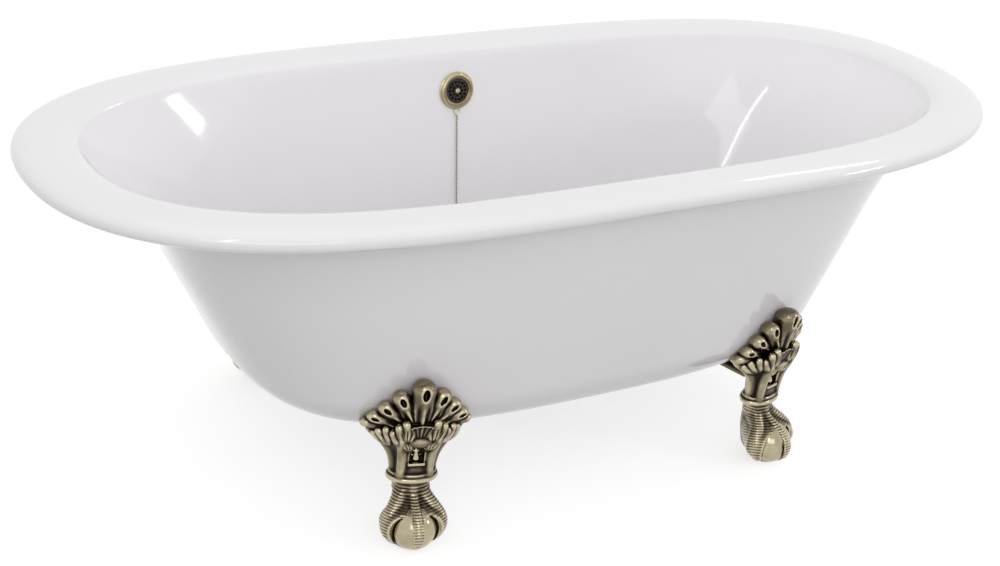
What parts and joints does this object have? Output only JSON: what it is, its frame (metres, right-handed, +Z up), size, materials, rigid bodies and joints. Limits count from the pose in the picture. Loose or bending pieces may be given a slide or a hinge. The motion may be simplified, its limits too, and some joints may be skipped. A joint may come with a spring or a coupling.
{
  "type": "clawfoot bathtub",
  "caption": "Double-ended roll-top bathtub with twin skins on cast claw-and-ball feet, with a wall overflow, a floor waste, and a plug on a ball chain.",
  "frame": {"origin": "on the floor under the middle of the bath", "axes": "+X along the bath, +Y towards the long side that holds the overflow, +Z up"},
  "size_m": [1.6997, 0.7438, 0.574],
  "materials": {
    "white_gloss_inside": "high gloss white sanitary acrylic",
    "white_gloss_outside": "gloss white sanitary acrylic",
    "board": "resin-sealed board",
    "steel": "zinc plated",
    "rubber": "matt black",
    "black_plastic": "moulded, satin",
    "grey_hose": "flexible ribbed hose, satin",
    "aged_brass_trim": "antique brass, polished on the edges",
    "aged_brass_chain": "antique brass ball chain",
    "aged_brass_foot": "antique brass plated casting, dark in the recesses"
  },
  "bodies": {
    "bath": {"bath_liner": "white_gloss_inside", "outer_skin": "white_gloss_outside", "floor_board": "board", "foot_front_right": "aged_brass_foot", "foot_front_left": "aged_brass_foot", "foot_back_right": "aged_brass_foot", "foot_back_left": "aged_brass_foot", "foot_bolts": "steel", "foot_washers": "steel", "board_inserts": "steel", "waste_flange": "aged_brass_trim", "waste_top_gasket": "rubber", "waste_lower_gasket": "rubber", "waste_body": "black_plastic", "waste_backnut": "black_plastic", "overflow_bezel": "aged_brass_trim", "overflow_grid": "aged_brass_trim", "overflow_screw": "aged_brass_trim", "overflow_gasket": "rubber", "overflow_elbow": "black_plastic", "overflow_hose": "grey_hose", "hose_clips": "steel", "hose_sleeve": "rubber", "chain_stay": "aged_brass_trim", "chain": "aged_brass_chain"},
    "plug": {"plug": "aged_brass_trim", "plug_seal": "rubber", "plug_ring": "aged_brass_trim", "chain_end": "aged_brass_chain"}
  },
  "joints": [
    {"name": "plug_lift", "type": "slide", "parent": "bath", "child": "plug", "axis": [0, 0, 1], "range_m": [0, 0.12]}
  ]
}
